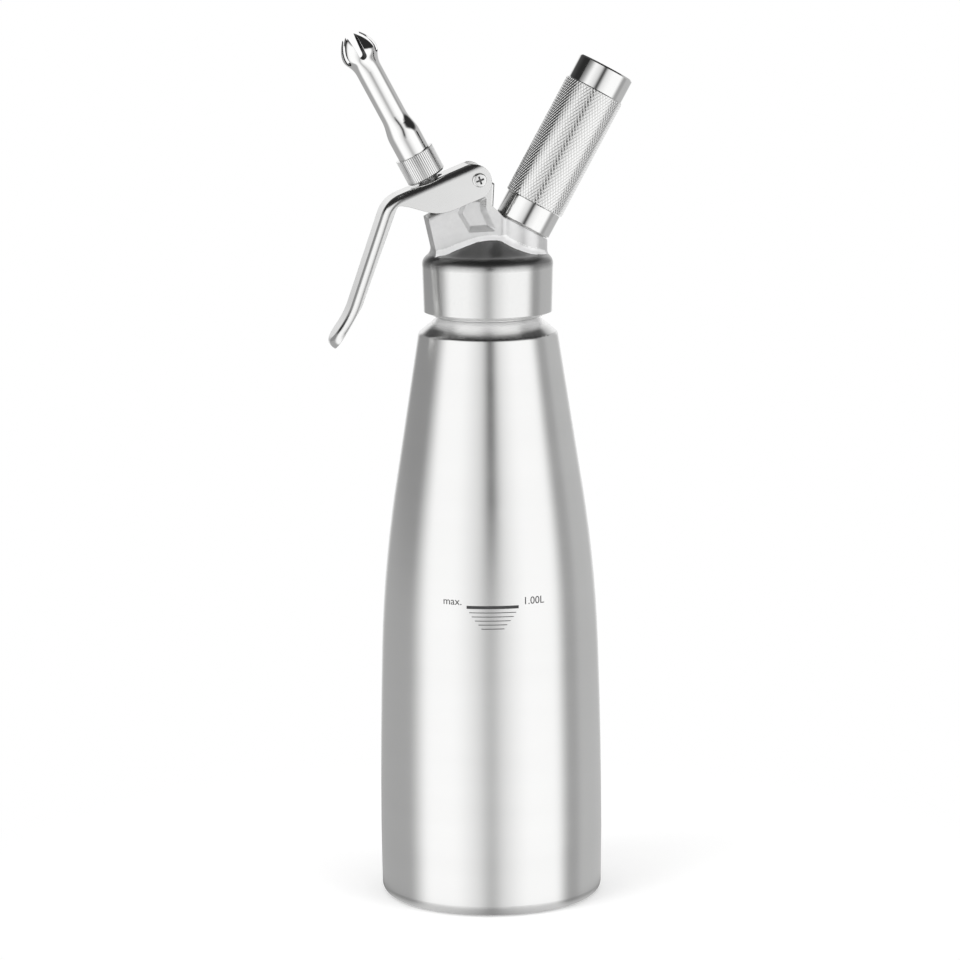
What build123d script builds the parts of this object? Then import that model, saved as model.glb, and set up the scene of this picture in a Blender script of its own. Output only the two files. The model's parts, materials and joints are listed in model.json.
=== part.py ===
"""Whipped cream dispenser: a steel bottle, a screw-on head with a squeeze lever, and a charger holder.

Millimetres and degrees. +Z is up and the origin is the centre of the bottle's base. The head's web lies in
the XZ plane: the nozzle and the lever lean towards -X, and the charger holder towards +X.
"""
import os
from math import cos, radians, sin, sqrt, tan

from build123d import *

# ---- Shared ---------------------------------------------------------------------------------------------
screw_gap = 0.3  # radial room where a screw thread is drawn as two plain cylinders
thread_gap = 0.03  # radial room between screwed or pressed pieces that stay together
overcut = 1.0  # how far a cutting shape runs past the surface that it opens
wire_sides = 8  # a spring wire is drawn with this many flats

# ---- Bottle ---------------------------------------------------------------------------------------------
body_r = 50.0  # widest outside radius
bottle_wall = 1.0
widest_z = 30.0  # height at which the bottle is widest
foot_taper = 0.9  # how far the lowest part leans in, from vertical
foot_round = 5.0
foot_width = 8.6  # width of the ring that the bottle stands on, with its rounded edge
base_rise = 2.5  # depth of the recess inside that ring
recess_slope = 45.0
low_bend_r = 2800.0  # the long, nearly straight stretch above the widest point
low_bend_angle = 1.7
high_bend_r = 590.0  # the rounder stretch that runs into the cone
cone_angle = 8.9  # half angle of the cone below the shoulder
shoulder_z = 255.9
shoulder_round = 2.5
neck_slope = 40.0  # slope of the bottle between shoulder and neck
neck_r = 22.5
neck_length = 18.85
rim_round = 0.45

# ---- Head: screwed collar, dome, web with valve tower, pivot lug and charger boss ------------------------
gasket_height = 2.5
gasket_inner_r = 17.6
gasket_room = 0.4
collar_lift = 0.5  # gap between the collar and the foot of the neck
collar_foot_r = 24.5
collar_low_r = 28.6
collar_high_r = 29.2
collar_bevel = 1.8
collar_height = 22.6
dome_edge_r = 24.6
dome_edge_rise = 5.1  # height of the dome's edge above the collar's widest ring
dome_top_rise = 13.7  # height of the dome's top above it
dome_pull = 0.5  # how strongly the dome follows the rolled edge where it leaves it
ceiling_r = 17.0
ceiling_depth = 3.5  # depth of the hollow above the gasket's seat
axes_drop = 7.0  # the slanted axes cross this far below the bottle's rim
nozzle_tilt = 28.0
holder_tilt = 29.0

web_thickness = 15.4
web_edge_round = 1.2
web_foot = 6.0  # the web widens by this much into the charger boss
cast_root = 3.5  # rounding where web, dome and boss meet
tower_top = 42.0  # along the nozzle's axis, from the point where the axes cross
tower_left = 8.9  # distance of the tower's outer corner from the nozzle's axis
tower_right = 8.0
tower_lean = 12.5  # lean of the tower's outer face, from vertical
lug_r = 5.4
lug_shoulder = 37.0  # where the web's flanks meet the lug's circle
lug_back = 7.2  # distance of the lug's back face from the pivot
lug_back_drop = 2.0  # the back face starts this far below the pivot
web_waist = (1.6, 37.5)  # where the back face ends: across and up, from the point where the axes cross
pocket_depth = 3.4
pocket_taper = 35.0
pocket_corners = ((-14.5, 34.8), (-9.7, 26.4), (2.8, 26.8), (-1.6, 36.4), (-1.6, 42.0), (-11.0, 42.0))
pocket_round = 0.8

# ---- Valve, along the nozzle's axis ----------------------------------------------------------------------
seat_height = 18.6  # valve seat, from the point where the axes cross
seat_pocket_r = 7.0
seal_r = 6.2
seal_height = 2.4
stem_flange_height = 2.0
stem_r = 4.5
stem_bore_r = 2.5
stem_floor = 2.0  # solid metal above the seal, under the bore
stem_port_r = 1.6
stem_port_gap = 0.2  # the ports start this far above the seal
stem_top = 66.5
stem_fit = 0.05  # running clearance of the stem in the tower
oring_height = 27.5
oring_wire_r = 0.7
groove_depth = 1.45
groove_half = 0.8  # half the groove's width
spring_seat = 34.0
spring_pocket_r = 6.55
spring_wire_r = 0.55
spring_r = 5.65
spring_turns = 4
nut_r = 6.6
nut_height = 4.0
nut_crown = 10.0  # slope of the nut's top, so that the lever rolls on it
nut_gap = 0.2  # room between the nut's crown and the lever's web

# ---- Lever, in its own frame: u runs along the web towards its rounded end, v out of the web --------------
pivot_x = -5.0
pivot_rise = 49.7  # above the point where the axes cross
web_angle = 22.0  # rise of the lever's web
lever_width = 20.0
sheet = 1.8
web_height = 7.8  # outer face of the lever's web above the pivot
ear_shift = 2.4  # centre of the rounded end, from the pivot
plate_length = 15.0  # straight lower edge of the side plates, from the pivot
web_open = 1.5  # the web stops this far before the pivot, so that the lug can pass
bend_start = 35.0
bend_r = 14.0
bend_angle = 48.9
grip_length = 41.5
flare_r = 40.0
flare_angle = 16.0
flare_length = 10.0
grip_depth_top = 5.2
grip_depth_low = 4.2
knee_rise = 5.6  # the handle's free edge runs on this far past the bend, to its corner with the side plate
knee_round = 2.0
grip_tip_r = 8.0
lever_round = 3.4
lever_swing = 12.0
slot_play = 0.4
pivot_fit = 0.05
pivot_r = 2.6
pivot_head_r = 4.0
pivot_head_height = 1.5
screw_shank_r = 1.6
screw_head_r = 3.15
screw_head_height = 1.5
screw_length = 14.0
pivot_end_play = 0.1

# ---- Nozzle, along its axis ------------------------------------------------------------------------------
ring_bottom = 57.5
ring_height = 12.0
ring_r = 8.9
ring_edge = 0.8
ring_rim = 0.2  # chamfer of the ring's upper edge
washer_height = 1.5
washer_inner_r = 2.6
ring_throat_r = 3.2
spigot_r = 6.55
spigot_height = 4.0
tube_wall = 0.8
tube_low_r = 7.4
tube_low_length = 10.4
tube_step_length = 6.6
tube_round = 18.0
tube_r = 5.9
tube_top = 41.6  # where the bulb starts, above the ring
bulb_r = 8.2
bulb_rise = 7.4
tip_r = 3.9
nozzle_length = 59.0
petals = 6
petal_slot_r = 1.6
petal_slot_floor = 47.6  # lowest point of the slots, above the ring
petal_slot_top = 4.1  # width of a slot at the petals' tips

# ---- Charger holder, along its axis ----------------------------------------------------------------------
boss_r = 12.9
boss_height = 32.0
seam = 0.3
nipple_r = 10.8
nipple_height = 11.5
holder_r = 13.05
holder_length = 79.3
holder_chamfer = 0.7
knurl_r = 13.7
knurl_start = 11.0
knurl_length = 57.2
knurl_edge = 0.5
holder_thread_depth = 12.5
charger_r = 9.0
charger_length = 65.5
charger_wall = 1.6
charger_neck_r = 4.4
charger_neck_length = 9.0
charger_shoulder = 10.0
charger_end_r = 7.0
charger_rise = 6.0  # the charger's tip sits this far above the seam
charger_play = 0.4
piercer_r = 6.4
piercer_bottom = -3.0  # from the seam
piercer_top = 9.0
piercer_port_r = 1.5
pin_base_r = 3.2
pin_base_height = 3.0
pin_r = 1.4
pin_bore_r = 0.6
pin_reach = 3.0
pierced_gap = 0.35
piercer_seal_height = 1.8
piercer_pocket_r = 4.9
seal_gap = 0.05
check_r = 3.2
check_depth = 8.0
ball_r = 2.4
ball_gap = 0.1
check_wire_r = 0.25
check_spring_r = 1.6
check_turns = 3
gas_port_r = 1.5

# ---- Places that follow from the sizes above -------------------------------------------------------------
rise_bend = radians(low_bend_angle)
cone_start_angle = radians(cone_angle)
low_bend_top = widest_z + low_bend_r * sin(rise_bend)
low_bend_end_r = body_r - low_bend_r * (1 - cos(rise_bend))
high_bend_top = low_bend_top + high_bend_r * (sin(cone_start_angle) - sin(rise_bend))
high_bend_end_r = low_bend_end_r - high_bend_r * (cos(rise_bend) - cos(cone_start_angle))
shoulder_r = high_bend_end_r - (shoulder_z - high_bend_top) * tan(cone_start_angle)
neck_foot_z = shoulder_z + (shoulder_r - neck_r) * tan(radians(neck_slope))
rim_z = neck_foot_z + neck_length
gasket_top_z = rim_z + gasket_height
collar_bottom_z = neck_foot_z + collar_lift
collar_top_z = collar_bottom_z + collar_height
ceiling_z = gasket_top_z + ceiling_depth
cross_z = rim_z - axes_drop
pivot_z = cross_z + pivot_rise
waist_x, waist_rise = web_waist
waist_z = cross_z + waist_rise
web_foot_z = waist_z - web_foot

nozzle_frame = Pos(0, 0, cross_z) * Rot(0, -nozzle_tilt, 0)
holder_frame = Pos(0, 0, cross_z) * Rot(0, holder_tilt, 0)
lever_direction = (cos(radians(web_angle)), 0, sin(radians(web_angle)))
lever_plane = Plane(origin=(pivot_x, 0, pivot_z), x_dir=lever_direction, z_dir=(0, -1, 0))

# The nozzle's axis seen from the pivot: its distance, the height of the nearest point, and its angle to v.
tilt = radians(nozzle_tilt)
axis_distance = pivot_rise * sin(tilt) + pivot_x * cos(tilt)
axis_foot = pivot_rise * cos(tilt) - pivot_x * sin(tilt)
axis_angle = nozzle_tilt - web_angle


def web_crossing(height, swing=0.0):
    """Where the nozzle's axis crosses the lever's plane v = height, when the lever has swung in.

    Gives the place along the nozzle's axis and the place u along the lever.
    """
    lean = radians(axis_angle - swing)
    along = (height + axis_distance * sin(lean)) / cos(lean)
    return axis_foot + along, -along * sin(lean) - axis_distance * cos(lean)


nut_top = web_crossing(web_height - sheet)[0] - nut_gap - (stem_r + thread_gap) * tan(radians(axis_angle))
nut_bottom = nut_top - nut_height
seal_bottom = seat_height - seal_height
washer_top = stem_top + washer_height
ring_top = ring_bottom + ring_height
seam_height = boss_height
piercer_foot = seam_height + piercer_bottom
check_floor = piercer_foot - check_depth
pivot_frame = Pos(pivot_x, 0, pivot_z) * Rot(90, 0, 0)
charger_tip = seam_height + charger_rise
charger_end = charger_tip + charger_length
holder_bottom = seam_height + seam
holder_top = holder_bottom + holder_length
piercer_head = seam_height + piercer_top
pin_shoulder = charger_tip - piercer_seal_height
pin_foot = pin_shoulder - pin_base_height
ball_height = piercer_foot - ball_gap - sqrt(ball_r**2 - piercer_port_r**2)
check_contact = sqrt((ball_r + check_wire_r)**2 - check_spring_r**2) - check_wire_r
lever_half = lever_width / 2
web_half = web_thickness / 2
pivot_half = lever_half + pivot_end_play
ear_end = web_height - ear_shift
lever_reach = bend_start + grip_length + flare_length
slot_r = stem_r + slot_play
slot_crossings = [web_crossing(web_height - depth, swing)[1]
                  for depth in (0, sheet) for swing in (0, lever_swing)]
slot_u = (min(slot_crossings) + max(slot_crossings)) / 2
slot_half = (max(slot_crossings) - min(slot_crossings)) / 2 + slot_r


# ---- Shared shapes ---------------------------------------------------------------------------------------
def turned(*points):
    """Body of revolution about Z from a closed outline of (radius, height) points."""
    return revolve(Plane.XZ * make_face(Polyline(*points, close=True)), Axis.Z)


def ring(inner_r, outer_r, bottom, top):
    return turned((inner_r, bottom), (outer_r, bottom), (outer_r, top), (inner_r, top))


def rod(radius, bottom, top):
    return Pos(0, 0, (bottom + top) / 2) * Cylinder(radius, top - bottom)


def coil(radius, wire_r, bottom, top, turns):
    """Helical spring about Z; bottom and top are the outer faces of its end turns."""
    height = top - bottom - 2 * wire_r
    path = Pos(0, 0, bottom + wire_r) * Helix(height / turns, height, radius)
    section = Plane(origin=path @ 0, z_dir=path % 0) * RegularPolygon(wire_r, wire_sides)
    return sweep(section, path=path, is_frenet=True)


def on_xz(sketch, width):
    """A sketch drawn in (X, Z), made into a plate of this width, centred on the XZ plane."""
    return extrude(Plane.XZ * sketch, amount=width / 2, both=True)


# ---- Bottle ----------------------------------------------------------------------------------------------
def corner_inset(corner, first_normal, second_normal, inset):
    """The corner of two lines that have both moved in by inset, given their outward normals in degrees."""
    a = Vector(cos(radians(first_normal)), sin(radians(first_normal)))
    b = Vector(cos(radians(second_normal)), sin(radians(second_normal)))
    return Vector(*corner) - (a + b) * (inset / (1 + a.dot(b)))


def rounded(face, corner, radius):
    """A flat outline with the corner nearest to this point rounded."""
    return fillet(face.vertices().sort_by_distance(Vector(*corner))[0], radius)


def bottle_form(inset, top_z):
    """The bottle's outside, or with inset = wall its inside, as a solid up to top_z."""
    foot_r = body_r - (widest_z - foot_round) * tan(radians(foot_taper))
    recess_r = foot_r - foot_width + inset * tan(radians(recess_slope / 2))
    foot = corner_inset((foot_r, 0), -90, -foot_taper, inset)
    shoulder = corner_inset((shoulder_r, shoulder_z), cone_angle, 90 - neck_slope, inset)
    neck_foot = corner_inset((neck_r, neck_foot_z), 90 - neck_slope, 0, inset)
    low_bend = JernArc((body_r - inset, widest_z), (0, 1), low_bend_r - inset, low_bend_angle)
    high_bend = JernArc(low_bend @ 1, low_bend % 1, high_bend_r - inset, cone_angle - low_bend_angle)
    recess_edge = recess_r - base_rise / tan(radians(recess_slope))
    base_z = base_rise + inset
    base = Polyline((0, top_z), (0, base_z), (recess_edge, base_z), (recess_r, inset), foot, low_bend @ 0)
    top = Polyline(high_bend @ 1, shoulder, neck_foot, (neck_r - inset, top_z), (0, top_z))
    outline = make_face(base + low_bend + high_bend + top)
    outline = rounded(outline, foot, foot_round - inset)
    outline = rounded(outline, shoulder, shoulder_round - inset)
    return revolve(Plane.XZ * outline, Axis.Z)


def make_bottle():
    bottle = bottle_form(0, rim_z) - bottle_form(bottle_wall, rim_z + bottle_wall)
    rim = bottle.edges().filter_by(GeomType.CIRCLE).group_by(Axis.Z)[-1]
    return fillet(rim, rim_round)


def make_head_gasket():
    return ring(gasket_inner_r, neck_r + screw_gap - gasket_room, rim_z, gasket_top_z)


# ---- Head ------------------------------------------------------------------------------------------------
def collar_and_dome():
    """Collar, rounded over into the dome, still solid inside."""
    edge = (dome_edge_r, collar_top_z + dome_edge_rise)
    top = (0, collar_top_z + dome_top_rise)
    side = Polyline(top, (0, collar_bottom_z), (collar_foot_r, collar_bottom_z),
                    (collar_low_r, collar_bottom_z + collar_bevel), (collar_high_r, collar_top_z))
    roll = TangentArc(side @ 1, edge, tangent=side % 1)
    dome = Spline(edge, top, tangents=[roll % 1, (-1, 0)], tangent_scalars=[dome_pull, 1])
    return revolve(Plane.XZ * make_face(side + roll + dome), Axis.Z)


def on_nozzle(across, along):
    """A point of the XZ plane given across and along the nozzle's axis."""
    return (across * cos(tilt) - along * sin(tilt), cross_z + across * sin(tilt) + along * cos(tilt))


def web_plate():
    """The upright plate that carries the valve tower and the pivot lug, with its upper edges rounded."""
    left_x, left_z = on_nozzle(-tower_left, tower_top)
    foot_x = left_x + (left_z - ceiling_z) * tan(radians(tower_lean))
    lug_side = lug_r * cos(radians(lug_shoulder))
    outline = Polyline((foot_x, ceiling_z), (left_x, left_z), on_nozzle(tower_right, tower_top),
                       (pivot_x - lug_side, pivot_z), (pivot_x + lug_side, pivot_z),
                       (pivot_x + lug_back, pivot_z - lug_back_drop), (waist_x, waist_z),
                       (waist_x + web_foot, web_foot_z), (waist_x + web_foot, ceiling_z), close=True)
    plate = on_xz(make_face(outline) + Pos(pivot_x, pivot_z) * Circle(lug_r), web_thickness)
    sides = plate.faces().sort_by(Axis.Y)
    rims = sides[0].edges() + sides[-1].edges()
    return fillet(rims.filter_by(lambda rim: rim.bounding_box().min.Z > web_foot_z), web_edge_round)


def web_pocket():
    """Weight-saving pocket, cut from the near face; its walls slope inwards."""
    corners = [(x, cross_z + rise) for x, rise in pocket_corners]
    outline = make_face(Polyline(*corners, close=True))
    outline = fillet(outline.vertices(), pocket_round)
    near_face = Plane(origin=(0, -web_half, 0), x_dir=(1, 0, 0), z_dir=(0, -1, 0))
    return extrude(near_face * outline, amount=-pocket_depth, taper=pocket_taper)


def charger_boss():
    """Boss under the charger holder: its seam disc carried straight down into the dome."""
    disc = holder_frame * Pos(0, 0, seam_height) * Circle(boss_r)
    solid = extrude(disc, amount=seam_height, dir=(0, 0, -1))
    return solid & Pos(0, 0, ceiling_z + seam_height) * Cylinder(collar_low_r, 2 * seam_height)


def head_hollows():
    """Everything that is bored out of the head."""
    hollow = rod(neck_r + screw_gap, collar_bottom_z - overcut, gasket_top_z)
    hollow += rod(ceiling_r, gasket_top_z - overcut, ceiling_z)
    valve = rod(seat_pocket_r, 0, seat_height) + rod(stem_r + stem_fit, 0, tower_top + overcut)
    valve += rod(spring_pocket_r, spring_seat, tower_top + overcut)
    gas = rod(gas_port_r, 0, check_floor + overcut) + rod(check_r, check_floor, piercer_foot + overcut)
    gas += rod(piercer_r + thread_gap, piercer_foot, seam_height + nipple_height + overcut)
    pivot = pivot_frame * rod(pivot_r + thread_gap, -lever_width, lever_width)
    return hollow + nozzle_frame * valve + holder_frame * gas + pivot


def casting():
    """Collar, dome, web and boss in one, with rounded roots where they meet."""
    dome, web, boss = collar_and_dome(), web_plate(), charger_boss()
    body = dome + web + boss
    roots = new_edges(dome, web, boss, combined=body)
    return fillet(roots.filter_by(lambda root: root.center().Z < web_foot_z), cast_root)


def make_head():
    nipple = holder_frame * rod(nipple_r, seam_height - overcut, seam_height + nipple_height)
    pocket = web_pocket()
    return casting() + nipple - pocket - mirror(pocket, Plane.XZ) - head_hollows()


# ---- Valve -----------------------------------------------------------------------------------------------
def make_valve_stem():
    flange_bottom = seal_bottom - stem_flange_height
    stem = rod(stem_r, flange_bottom, stem_top) + rod(seal_r, flange_bottom, seal_bottom)
    stem -= rod(stem_bore_r, seal_bottom + stem_floor, stem_top + overcut)
    ports = rod(stem_port_r, -seal_r, seal_r)
    port_height = seat_height + stem_port_gap + stem_port_r
    stem -= Pos(0, 0, port_height) * (Rot(90, 0, 0) * ports + Rot(0, 90, 0) * ports)
    stem -= ring(stem_r - groove_depth, seal_r, oring_height - groove_half, oring_height + groove_half)
    return nozzle_frame * stem


def make_valve_seal():
    return nozzle_frame * ring(stem_r + thread_gap, seal_r, seal_bottom, seat_height)


def make_stem_oring():
    return nozzle_frame * Pos(0, 0, oring_height) * Torus(stem_r - oring_wire_r, oring_wire_r)


def make_spring_nut():
    bore_r = stem_r + thread_gap
    drop = (nut_r - bore_r) * tan(radians(nut_crown))
    return nozzle_frame * turned((bore_r, nut_bottom), (nut_r, nut_bottom), (nut_r, nut_top - drop),
                                 (bore_r, nut_top))


def make_return_spring():
    return nozzle_frame * coil(spring_r, spring_wire_r, spring_seat, nut_bottom, spring_turns)


# ---- Lever -----------------------------------------------------------------------------------------------
def lever_back(inset):
    """The lever's back line from its rounded end to its tip, moved in by inset; drawn in (u, v)."""
    web = Line((ear_end, web_height - inset), (-bend_start, web_height - inset))
    bend = JernArc(web @ 1, web % 1, bend_r - inset, bend_angle)
    grip = Line(bend @ 1, bend @ 1 + (bend % 1) * grip_length)
    flare = JernArc(grip @ 1, grip % 1, flare_r + inset, -flare_angle)
    tip = Line(flare @ 1, flare @ 1 + (flare % 1) * (flare_length - inset))
    return web, bend, grip, flare, tip


def inwards(curve, at, distance):
    """A point this far inside the lever's back line."""
    return curve @ at + (curve % at).rotate(Axis.Z, 90) * distance


def lever_outline(inset, low_edge):
    """Closed side view of the lever: its back line, moved in by inset, and a lower edge."""
    return make_face(Curve() + lever_back(inset) + low_edge)


def lever_bar(inset, outline):
    """The side view made into a solid bar with its back rounded; inset is that of its back line."""
    back = lever_back(inset)
    half = lever_half - inset
    bar = extrude(lever_plane * outline, amount=half, both=True)
    tip_corner = inwards(back[-1], 1, grip_depth_low / 2)
    grip_middle = back[2] @ 0.5
    bar = fillet(edges_beside(bar, tip_corner, half), grip_tip_r - inset)
    return fillet(edges_beside(bar, grip_middle, half), lever_round - inset)


def edges_beside(bar, point, half):
    """The bar's two edges that pass through this (u, v) point, one on each side."""
    sides = [lever_plane.from_local_coords(Vector(point.X, point.Y, side)) for side in (-half, half)]
    return [bar.edges().sort_by_distance(side)[0] for side in sides]


def lever_knee():
    """Where the handle's free edge meets the side plate's, as a (u, v) point."""
    grip = lever_back(0)[2]
    return inwards(grip, 0, grip_depth_top) - (grip % 0) * knee_rise


def lever_low_edge():
    """Free edge of the side plates and of the grip's flanges, from the tip to the rounded end."""
    web, _, grip, _, tip = lever_back(0)
    corner = lever_knee()
    flange = Polyline(tip @ 1, inwards(tip, 1, grip_depth_low), inwards(grip, 1, grip_depth_low), corner)
    level = (cos(radians(web_angle)), -sin(radians(web_angle)))
    plate = Spline(corner, (-plate_length, -web_height), tangents=[level, (1, 0)])
    end = Polyline(plate @ 1, (ear_end, -web_height), web @ 0)
    return flange + plate + end


def lever_open_edge():
    """An edge well below the lever, so that the bar which is cut out of it leaves it open there."""
    web, tip = lever_back(sheet)[0], lever_back(sheet)[-1]
    deep = lever_reach / 2
    return Polyline(tip @ 1, inwards(tip, 1, deep), (0, -lever_reach), (ear_end, -lever_reach), web @ 0)


def lever_cuts():
    """Rounded end, open end of the web, slot for the stem and the pivot's holes."""
    square = Rectangle(2 * web_height, 2 * web_height)
    corners = Pos(-ear_shift, 0) * (Pos(web_height, 0) * square - Circle(web_height))
    end = extrude(lever_plane * corners, amount=lever_half, both=True)
    opening = Pos(web_height - web_open, web_height) * square
    end += extrude(lever_plane * opening, amount=lever_half - sheet, both=True)
    slot = lever_plane * Pos(slot_u, web_height) * Rot(-90, 0, 0) * SlotOverall(2 * slot_half, 2 * slot_r)
    holes = pivot_frame * rod(pivot_r + pivot_fit, -lever_width, lever_width)
    return end + extrude(slot, amount=2 * sheet, both=True) + holes


def make_lever():
    outside = rounded(lever_outline(0, lever_low_edge()), lever_knee(), knee_round)
    inside = lever_outline(sheet, lever_open_edge())
    return lever_bar(0, outside) - lever_bar(sheet, inside) - lever_cuts()


# ---- Pivot, along its own axis, which points to the near side --------------------------------------------
def make_pivot_sleeve():
    sleeve = rod(pivot_r, -pivot_half, pivot_half)
    sleeve += rod(pivot_head_r, -pivot_half - pivot_head_height, -pivot_half)
    sleeve = fillet(sleeve.edges().filter_by(GeomType.CIRCLE).group_by(Axis.Z)[0], pivot_head_height / 2)
    bore = rod(screw_shank_r + thread_gap, pivot_half - screw_length - pivot_end_play, pivot_half)
    return pivot_frame * (sleeve - bore)


def make_pivot_screw():
    screw = rod(screw_shank_r, pivot_half - screw_length, pivot_half)
    screw += rod(screw_head_r, pivot_half, pivot_half + screw_head_height)
    rim = screw.edges().filter_by(GeomType.CIRCLE).group_by(Axis.Z)[-1]
    return pivot_frame * fillet(rim, screw_head_height / 2)


# ---- Nozzle ----------------------------------------------------------------------------------------------
def make_nozzle_washer():
    return nozzle_frame * ring(washer_inner_r, stem_r, stem_top, washer_top)


def make_nozzle_ring():
    body = rod(ring_r, ring_bottom, ring_top)
    body = chamfer(body.edges().filter_by(GeomType.CIRCLE).group_by(Axis.Z)[0], ring_edge)
    body = chamfer(body.edges().filter_by(GeomType.CIRCLE).group_by(Axis.Z)[-1], ring_rim)
    body += rod(spigot_r, ring_top, ring_top + spigot_height)
    body -= rod(stem_r + screw_gap, ring_bottom, washer_top)
    return nozzle_frame * (body - rod(ring_throat_r, washer_top, ring_top + ring_height))


def nozzle_form(inset):
    """The nozzle's outside, or with inset = tube_wall its inside; a closed solid."""
    foot, step = (tube_low_r - inset, ring_top), (tube_low_r - inset, ring_top + tube_low_length)
    neck = (tube_r - inset, ring_top + tube_low_length + tube_step_length)
    throat = (tube_r - inset, ring_top + tube_top)
    belly = (bulb_r - inset, ring_top + tube_top + bulb_rise)
    mouth = (tip_r - inset, ring_top + nozzle_length)
    stem = Polyline((0, mouth[1]), (0, ring_top), foot, step, neck, throat)
    bulb = Spline(throat, belly, mouth, tangents=[(0, 1), (-1, 1)])
    outline = make_face(stem + bulb + Line(mouth, (0, mouth[1])))
    outline = rounded(rounded(outline, step, tube_round - inset), neck, tube_round + inset)
    return revolve(Plane.XZ * outline, Axis.Z)


def petal_slot():
    """Slot with a round bottom, cut from the nozzle's tip through one side of the bulb."""
    floor = petal_slot_floor + petal_slot_r
    flanks = Polyline((-petal_slot_r, floor), (petal_slot_r, floor), (petal_slot_top / 2, nozzle_length),
                      (-petal_slot_top / 2, nozzle_length), close=True)
    outline = make_face(flanks) + Pos(0, floor) * Circle(petal_slot_r)
    return Pos(0, 0, ring_top) * extrude(Plane.XZ * outline, amount=2 * bulb_r)


def make_nozzle():
    shell = nozzle_form(0) - nozzle_form(tube_wall)
    slot = petal_slot()
    for petal in range(petals):
        shell -= Rot(0, 0, petal * 360 / petals) * slot
    return nozzle_frame * shell


# ---- Charger, its holder and the piercer -----------------------------------------------------------------
def charger_form(inset):
    """The charger's outside, or with inset = charger_wall its inside, from its tip up."""
    neck = Polyline((0, charger_length - inset), (0, inset), (charger_neck_r - inset, inset),
                    (charger_neck_r - inset, charger_neck_length))
    side = Line((charger_r - inset, charger_neck_length + charger_shoulder),
                (charger_r - inset, charger_length - charger_end_r))
    shoulder = TangentArc(side @ 0, neck @ 1, tangent=(0, -1))
    end = JernArc(side @ 1, (0, 1), charger_end_r - inset, 90)
    outline = make_face(neck + shoulder + side + end + Line(end @ 1, neck @ 0))
    return Pos(0, 0, charger_tip) * revolve(Plane.XZ * outline, Axis.Z)


def make_charger():
    hole = rod(pin_r + pierced_gap, charger_tip, charger_tip + charger_neck_length)
    return holder_frame * (charger_form(0) - charger_form(charger_wall) - hole)


def make_charger_holder():
    holder = rod(holder_r, holder_bottom, holder_top)
    holder = chamfer(holder.edges().filter_by(GeomType.CIRCLE), holder_chamfer)
    knurl_bottom = holder_bottom + knurl_start
    knurl = rod(knurl_r, knurl_bottom, knurl_bottom + knurl_length)
    holder += chamfer(knurl.edges().filter_by(GeomType.CIRCLE), knurl_edge)
    holder -= rod(nipple_r + screw_gap, holder_bottom, holder_bottom + holder_thread_depth)
    return holder_frame * (holder - rod(charger_r + charger_play, holder_bottom, charger_end + charger_play))


def make_piercer_body():
    body = rod(piercer_r, piercer_foot, piercer_head)
    body -= rod(piercer_port_r, piercer_foot, pin_foot) + rod(pin_base_r, pin_foot, pin_shoulder)
    body -= rod(piercer_pocket_r, pin_shoulder, piercer_head)
    return holder_frame * body


def make_piercing_pin():
    tip = charger_tip + pin_reach
    slant = pin_r - pin_bore_r
    base_r = pin_base_r - thread_gap
    pin = turned((pin_bore_r, pin_foot), (base_r, pin_foot), (base_r, pin_shoulder),
                 (pin_r, pin_shoulder), (pin_r, tip - slant), (pin_bore_r, tip))
    return holder_frame * pin


def make_piercer_seal():
    outer_r = piercer_pocket_r - seal_gap
    return holder_frame * ring(pin_r + pierced_gap, outer_r, pin_shoulder, charger_tip - seal_gap)


# ---- One-way valve under the piercer ---------------------------------------------------------------------
def make_check_ball():
    return holder_frame * Pos(0, 0, ball_height) * Sphere(ball_r)


def make_check_spring():
    top = ball_height - check_contact
    return holder_frame * coil(check_spring_r, check_wire_r, check_floor, top, check_turns)


parts = {
    "bottle": make_bottle,
    "head_gasket": make_head_gasket,
    "head": make_head,
    "valve_stem": make_valve_stem,
    "valve_seal": make_valve_seal,
    "stem_oring": make_stem_oring,
    "spring_nut": make_spring_nut,
    "return_spring": make_return_spring,
    "lever": make_lever,
    "pivot_sleeve": make_pivot_sleeve,
    "pivot_screw": make_pivot_screw,
    "nozzle_washer": make_nozzle_washer,
    "nozzle_ring": make_nozzle_ring,
    "nozzle": make_nozzle,
    "charger": make_charger,
    "charger_holder": make_charger_holder,
    "piercer_body": make_piercer_body,
    "piercing_pin": make_piercing_pin,
    "piercer_seal": make_piercer_seal,
    "check_ball": make_check_ball,
    "check_spring": make_check_spring,
}

os.makedirs("parts", exist_ok=True)
for name, make in parts.items():
    export_step(make(), f"parts/{name}.step")
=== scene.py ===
"""Whipped cream dispenser: finishes, fine detail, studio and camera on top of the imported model.

The object's sizes are in millimetres and turned into metres where a mesh is made. The studio's are in metres.
"""
import json
from math import atan2, cos, exp, hypot, inf, pi, radians, sin, tau

import bmesh
import bpy
from mathutils import Matrix, Vector

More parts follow.
